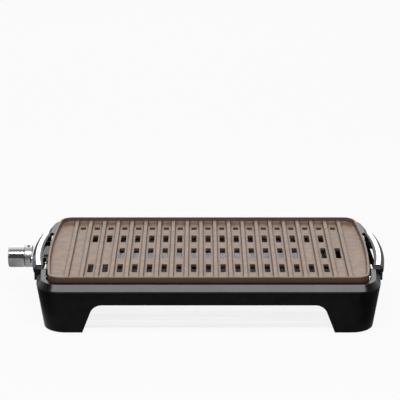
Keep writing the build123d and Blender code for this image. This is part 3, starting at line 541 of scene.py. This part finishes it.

# %% [markdown]
# ## Bright sheet
# The reflector is rolled stainless sheet and the tray is pressed aluminium with a satin skin.
# Neither is painted equally bright all over: masks pick out faces by the way that they point and, on
# the reflector, by whether they look at the middle of the grill or away from it, and give them a darker
# colour as painted shade, on the inner faces of the reflector's upstands and on the outside of the
# tray.

# %% Finish the sheets
# Painted shade: a near-black steel colour for the inner faces of the reflector's upstands.
painted_upstand_shade = (0.06, 0.055, 0.055, 1)
inwards = -0.02
outwards = -0.005
floor_begins = 0.9
floor_level = 0.99
floor_metallic = 0.3
# Painted shade: a dark grey for the outside of the tray.
painted_underside_shade = (0.15, 0.15, 0.155, 1)
outside_down = -0.45
outside_level = -0.05
tray_soft_edge = 0.0001
rolled = {"metallic": 1.0, "effect": rolled_lines, "smudges_per_metre": 12.0}


def reflector_finish():
    """Bright rolled sheet with painted shade inside the two upstands, and less metallic on its floor.
    """
    tones = ((0.88, 0.88, 0.88), (0.95, 0.95, 0.95))
    material, tree, shader, place, marks = start_finish(
        "rolled steel sheet", per_metre=1500.0, tones=tones, shine=(0.12, 0.17), **rolled
    )
    bright = two_tones(tree, marks["Shade"], tones)
    # Painted shade: faces that look towards the middle of the grill take the near-black colour.
    pointing = along(tree, coordinates(tree, "Normal"), "Y")
    side = calculate(tree, "MULTIPLY", pointing, along(tree, place, "Y"))
    outer = spread(tree, side, inwards, outwards)
    join(tree, blend_colours(tree, outer, painted_upstand_shade, bright), shader["Base Color"])
    metallic = facing(tree, "Z", floor_begins, floor_level, at_low=1.0, at_high=floor_metallic)
    join(tree, metallic, shader["Metallic"])
    raise_bumps(tree, shader, marks["Height"], depth=0.000002)
    return material


def tray_finish():
    """Satin inside; the outside, which faces out and down, is darkened as painted shade."""
    tones = ((0.68, 0.685, 0.69), (0.72, 0.725, 0.73))
    material, tree, shader, place, marks = start_finish(
        "pressed aluminium", per_metre=2600.0, tones=tones, shine=(0.42, 0.48), **rolled
    )
    satin = two_tones(tree, marks["Shade"], tones)
    # Painted shade: faces that point out and down take the dark grey.
    upwards = facing(tree, "Z", outside_down, outside_level)
    join(tree, blend_colours(tree, upwards, painted_underside_shade, satin), shader["Base Color"])
    raise_bumps(tree, shader, marks["Height"], depth=0.0000015, edge=tray_soft_edge)
    return material


finishes["reflector steel"] = reflector_finish()
finishes["tray aluminium"] = tray_finish()
print("finishes so far", list(finishes))

# %% [markdown]
# ## Plated pieces and plain steel
# The strips and the dial's bright metal are plated and polished, and the control's housing is
# plated but left satin. Brackets, screws and the element's sheath are grained and duller. They
# differ in roughness and in how strongly their lines or their grain show.

# %% Finish the plated pieces and the steel
grained = {"metallic": 1.0, "effect": fine_grain, "smudges_per_metre": 30.0}
finishes["bright trim"] = plain_finish(
    "polished plating",
    tones=((0.84, 0.84, 0.845), (0.90, 0.90, 0.905)),
    shine=(0.05, 0.08),
    per_metre=600.0,
    depth=0.0000004,
    **rolled,
)
finishes["satin plating"] = plain_finish(
    "satin plating",
    tones=((0.60, 0.60, 0.605), (0.70, 0.70, 0.705)),
    shine=(0.28, 0.36),
    per_metre=900.0,
    depth=0.000002,
    **rolled,
)
finishes["zinc steel"] = plain_finish(
    "zinc-plated steel",
    tones=((0.55, 0.56, 0.57), (0.70, 0.71, 0.72)),
    shine=(0.26, 0.38),
    per_metre=900.0,
    depth=0.00001,
    **grained,
)
finishes["element steel"] = plain_finish(
    "element sheath",
    tones=((0.16, 0.165, 0.16), (0.27, 0.27, 0.26)),
    shine=(0.42, 0.55),
    per_metre=1200.0,
    depth=0.00003,
    **grained,
)
print("finishes so far", list(finishes))

# %% [markdown]
# ## Small finishes
# Rubber, ceramic, brass, the red lens and the lamp show little, but each still needs its own
# surface: dusty black for rubber, a speckled cream for the beads, clear red for the lens.

# %% Finish the small pieces
clear_share = 0.85
clear_ior = 1.49
clear_dark_share = 0.85
clear_shine_span = 0.05
clear = {"metallic": 0.0, "effect": fine_grain, "smudges_per_metre": 200.0}


def glass_finish(name, colour, roughness):
    dark = [value * clear_dark_share for value in colour]
    return plain_finish(
        name,
        tones=(dark, colour),
        shine=(roughness, roughness + clear_shine_span),
        per_metre=500.0,
        depth=0.00001,
        own_values={"Transmission Weight": clear_share, "IOR": clear_ior},
        **clear,
    )


finishes["rubber"] = plain_finish(
    "black rubber",
    tones=((0.016, 0.016, 0.016), (0.03, 0.03, 0.03)),
    shine=(0.62, 0.75),
    per_metre=1300.0,
    depth=0.00005,
    **plastic,
)
finishes["ceramic"] = plain_finish(
    "cream ceramic",
    tones=((0.72, 0.68, 0.60), (0.84, 0.81, 0.74)),
    shine=(0.4, 0.5),
    per_metre=900.0,
    depth=0.00003,
    **plastic,
)
finishes["brass"] = plain_finish(
    "plain brass",
    tones=((0.62, 0.44, 0.19), (0.76, 0.58, 0.28)),
    shine=(0.24, 0.36),
    per_metre=900.0,
    depth=0.00001,
    **grained,
)
finishes["lens"] = glass_finish("clear red lens", colour=(0.75, 0.04, 0.03), roughness=0.06)
finishes["lamp"] = glass_finish("lamp glass", colour=(0.9, 0.55, 0.35), roughness=0.1)
print("finishes", len(finishes))

# %% Give each solid its finish
slot_finish = {
    "base_plastic": "base plastic",
    "grip_plastic": "grip plastic",
    "nonstick": "coat",
    "tray_aluminium": "tray aluminium",
    "reflector_steel": "reflector steel",
    "bright_trim": "bright trim",
    "bracket_steel": "zinc steel",
    "screw_steel": "zinc steel",
    "element_steel": "element steel",
    "foot_rubber": "rubber",
    "bead_ceramic": "ceramic",
    "contact_brass": "brass",
    "lens": "lens",
    "lamp": "lamp",
}
node_finish = {"upper_housing": "satin plating", "lower_housing": "satin plating"}
for entry in frame["record"]["subparts"]:
    solid = frame["nodes"][entry["node"]]
    finish = node_finish.get(entry["node"], slot_finish[entry["material_slot"]])
    solid.data.materials.clear()
    solid.data.materials.append(finishes[finish])
print("dressed", len(frame["nodes"]), "solids")

# %% [markdown]
# ## Shapes from rules
# Three small forms follow a rule, so each comes from a node tree with its sizes as inputs: the
# strips on the handles and the beads along the tray are one section swept along a curve, and the
# marks on the dial are one bar repeated round an axis. Modelling them by hand would work too,
# but then a new size would mean starting again.


# %% Helpers for shape trees
def start_shape(name, inputs):
    """A tree for a shape: its sizes and a material come in and one geometry goes out."""
    sockets = {**inputs, "Material": "NodeSocketMaterial"}
    return start_tree(name, "GeometryNodeTree", sockets, {"Geometry": "NodeSocketGeometry"})


def end_shape(tree, entry, leave, geometry):
    """Every tree ends in real geometry with its material set."""
    real = add_node(tree, "GeometryNodeRealizeInstances")
    paint = add_node(tree, "GeometryNodeSetMaterial")
    join(tree, geometry, real.inputs["Geometry"])
    join(tree, real.outputs["Geometry"], paint.inputs["Geometry"])
    join(tree, entry.outputs["Material"], paint.inputs["Material"])
    join(tree, paint.outputs["Geometry"], leave.inputs["Geometry"])


def add_section(tree, entry):
    """A flat rectangle from the tree's Width and Height."""
    section = add_node(tree, "GeometryNodeCurvePrimitiveQuadrilateral")
    join(tree, entry.outputs["Width"], section.inputs["Width"])
    join(tree, entry.outputs["Height"], section.inputs["Height"])
    return section.outputs["Curve"]


def sweep(tree, route, section):
    """Draw a section along a curve and close both ends."""
    body = add_node(tree, "GeometryNodeCurveToMesh", {"Fill Caps": True})
    join(tree, route, body.inputs["Curve"])
    join(tree, section, body.inputs["Profile Curve"])
    return body.outputs["Mesh"]


def take_shape(name, tree, **values):
    """Run a tree with its inputs set by name and keep the result as a plain mesh."""
    seed_mesh = bpy.data.meshes.new(name + " seed")
    holder = bpy.data.objects.new(name + " seed", seed_mesh)
    bpy.context.scene.collection.objects.link(holder)
    modifier = holder.modifiers.new("shape", "NODES")
    modifier.node_group = tree
    inputs = [item for item in tree.interface.items_tree if item.in_out == "INPUT"]
    sockets = {item.name: item.identifier for item in inputs}
    for label, value in values.items():
        modifier[sockets[label.replace("_", " ")]] = value
    holder.update_tag()
    shaped = holder.evaluated_get(bpy.context.evaluated_depsgraph_get())
    mesh = bpy.data.meshes.new_from_object(shaped)
    mesh.name = name
    holder.modifiers.remove(modifier)
    bpy.data.objects.remove(holder)
    return mesh


def join_meshes(name, meshes):
    """Several plain meshes as one piece in the scene."""
    corner_shade = []
    faces = []
    for mesh in meshes:
        first = len(corner_shade)
        corner_shade += [tuple(vertex.co) for vertex in mesh.vertices]
        faces += [[first + index for index in face.vertices] for face in mesh.polygons]
    whole = bpy.data.meshes.new(name)
    whole.from_pydata(corner_shade, [], faces)
    whole.materials.append(meshes[0].materials[0])
    whole.validate()
    piece = bpy.data.objects.new(name, whole)
    bpy.context.scene.collection.objects.link(piece)
    return piece


# %% Tree for a swept strip
corner_steps = 4
sweep_steps = 48


def build_swept_strip():
    """A section with rounded corners, swept along a curve that is pulled to one side."""
    tree, entry, leave = start_shape(
        "swept strip",
        {
            "Start": "NodeSocketVector",
            "Pull": "NodeSocketVector",
            "End": "NodeSocketVector",
            "Width": "NodeSocketFloat",
            "Height": "NodeSocketFloat",
            "Rounding": "NodeSocketFloat",
            "Steps": "NodeSocketInt",
        },
    )
    route = add_node(tree, "GeometryNodeCurveQuadraticBezier")
    level = add_node(tree, "GeometryNodeSetCurveNormal", mode="Z_UP")
    soft = add_node(tree, "GeometryNodeFilletCurve", {"Count": corner_steps}, mode="POLY")
    join(tree, entry.outputs["Start"], route.inputs["Start"])
    join(tree, entry.outputs["Pull"], route.inputs["Middle"])
    join(tree, entry.outputs["End"], route.inputs["End"])
    join(tree, entry.outputs["Steps"], route.inputs["Resolution"])
    join(tree, route.outputs["Curve"], level.inputs["Curve"])
    join(tree, add_section(tree, entry), soft.inputs["Curve"])
    join(tree, entry.outputs["Rounding"], soft.inputs["Radius"])
    body = sweep(tree, level.outputs["Curve"], soft.outputs["Curve"])
    end_shape(tree, entry, leave, body)
    return tree


swept_strip = build_swept_strip()
print("swept strip has", len(swept_strip.nodes), "nodes")

# %% [markdown]
# ## Bright strips on the handles
# The plain strips of the solids are flat bars. The real ones have round edges that catch the
# light, so each is swept along the bow of its handle and takes the flat bar's place. A strip
# ends square to its curve, so it is a little shorter than the pocket that it lies in.

# %% Sweep the strips
strip_width = 0.0065
strip_end_gap = 0.0008
strip_rounding = 0.00045
strip_low, strip_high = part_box("right_handle_trim")
strip_bow = strip_high.x - strip_low.x - strip_width
strip_half = strip_high.y - strip_end_gap
strip_height = (strip_low.z + strip_high.z) / 2
apex = strip_high.x - strip_width / 2 - middle_x
for side, node in ((1, "right_handle_trim"), (-1, "left_handle_trim")):
    end_x = middle_x + side * (apex - strip_bow)
    pull_x = middle_x + side * (apex + strip_bow)
    strip = take_shape(
        node + " strip",
        swept_strip,
        Start=(end_x, -strip_half, strip_height),
        Pull=(pull_x, 0.0, strip_height),
        End=(end_x, strip_half, strip_height),
        Width=strip_width,
        Height=strip_high.z - strip_low.z,
        Rounding=strip_rounding,
        Steps=sweep_steps,
        Material=finishes["bright trim"],
    )
    piece = join_meshes(node.replace("trim", "strip"), [strip])
    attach(piece, "plate")
    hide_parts(node)
    print(piece.name, "faces", len(piece.data.polygons), "half length", round(strip_half, 4))

# %% [markdown]
# ## Beads along the tray
# Thin sheet is sharp and limp, so the front and rear edges of the tray are rolled into a bead,
# which draws a bright line along them in a picture. The flange's own edge is measured from the
# tray's mesh, and the bead is swept along it.

# %% Sweep the beads
bead_radius = 0.0008
bead_rounding_share = 0.98
edge_band = 0.0004
tray = frame["nodes"]["drip_tray"]
tray_low, tray_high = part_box("drip_tray")
spots = [tray.matrix_world @ vertex.co for vertex in tray.data.vertices]
front_edge = [spot for spot in spots if spot.y < tray_low.y + edge_band]
edge_start = min(spot.x for spot in front_edge)
edge_end = max(spot.x for spot in front_edge)
edge_height = max(spot.z for spot in front_edge)
beads = []
for bead_y in (tray_low.y + bead_radius, tray_high.y - bead_radius):
    bead = take_shape(
        "tray bead",
        swept_strip,
        Start=(edge_start, bead_y, edge_height),
        Pull=((edge_start + edge_end) / 2, bead_y, edge_height),
        End=(edge_end, bead_y, edge_height),
        Width=2 * bead_radius,
        Height=2 * bead_radius,
        Rounding=bead_rounding_share * bead_radius,
        Steps=sweep_steps,
        Material=finishes["tray aluminium"],
    )
    beads.append(bead)
tray_beads = join_meshes("tray_beads", beads)
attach(tray_beads, "tray")
print("beads", round(edge_end - edge_start, 4), "long at height", round(edge_height, 4))

# %% [markdown]
# ## Marks on the dial
# The end of the dial carries plain heat marks, printed in black on the bright disc. One bar is
# drawn at the top and turned round the dial's axis, once for each mark. The bars are sunk in the
# disc, so that only a sixth of their side stands proud.


# %% Repeat the marks
def build_ring_of_marks():
    """Bars round an axis along X, from an inner to an outer radius."""
    tree, entry, leave = start_shape(
        "ring of marks",
        {
            "Count": "NodeSocketInt",
            "First angle": "NodeSocketFloat",
            "Step angle": "NodeSocketFloat",
            "Inner": "NodeSocketFloat",
            "Outer": "NodeSocketFloat",
            "Width": "NodeSocketFloat",
            "Height": "NodeSocketFloat",
            "Centre": "NodeSocketVector",
        },
    )
    line = add_node(tree, "GeometryNodeCurvePrimitiveLine")
    for radius, end in (("Inner", "Start"), ("Outer", "End")):
        spot = add_node(tree, "ShaderNodeCombineXYZ")
        join(tree, entry.outputs[radius], spot.inputs["Z"])
        join(tree, spot.outputs[0], line.inputs[end])
    bar = sweep(tree, line.outputs["Curve"], add_section(tree, entry))
    points = add_node(tree, "GeometryNodePoints")
    join(tree, entry.outputs["Count"], points.inputs["Count"])
    join(tree, entry.outputs["Centre"], points.inputs["Position"])
    step = entry.outputs["Step angle"]
    index = add_node(tree, "GeometryNodeInputIndex").outputs["Index"]
    angle = calculate(tree, "MULTIPLY_ADD", index, step, entry.outputs["First angle"])
    turn = add_node(tree, "ShaderNodeCombineXYZ")
    join(tree, angle, turn.inputs["X"])
    repeat = add_node(tree, "GeometryNodeInstanceOnPoints")
    join(tree, points.outputs[0], repeat.inputs["Points"])
    join(tree, bar, repeat.inputs["Instance"])
    join(tree, turn.outputs[0], repeat.inputs["Rotation"])
    end_shape(tree, entry, leave, repeat.outputs["Instances"])
    return tree


mark_count = 11
mark_sweep = math.radians(270)
mark_side = 0.0005
mark_inner_share = 0.72
mark_outer_share = 0.92
face_low, face_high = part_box("dial_face")
face_middle = (face_low + face_high) / 2
face_radius = (face_high.y - face_low.y) / 2
marks = take_shape(
    "dial marks",
    build_ring_of_marks(),
    Count=mark_count,
    First_angle=-mark_sweep / 2,
    Step_angle=mark_sweep / (mark_count - 1),
    Inner=face_radius * mark_inner_share,
    Outer=face_radius * mark_outer_share,
    Width=mark_side,
    Height=mark_side,
    Centre=(face_low.x + mark_side / 3, face_middle.y, face_middle.z),
    Material=finishes["grip plastic"],
)
dial_marks = join_meshes("dial_marks", [marks])
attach(dial_marks, "dial")
print("marks", mark_count, "on a disc of radius", round(face_radius, 4))
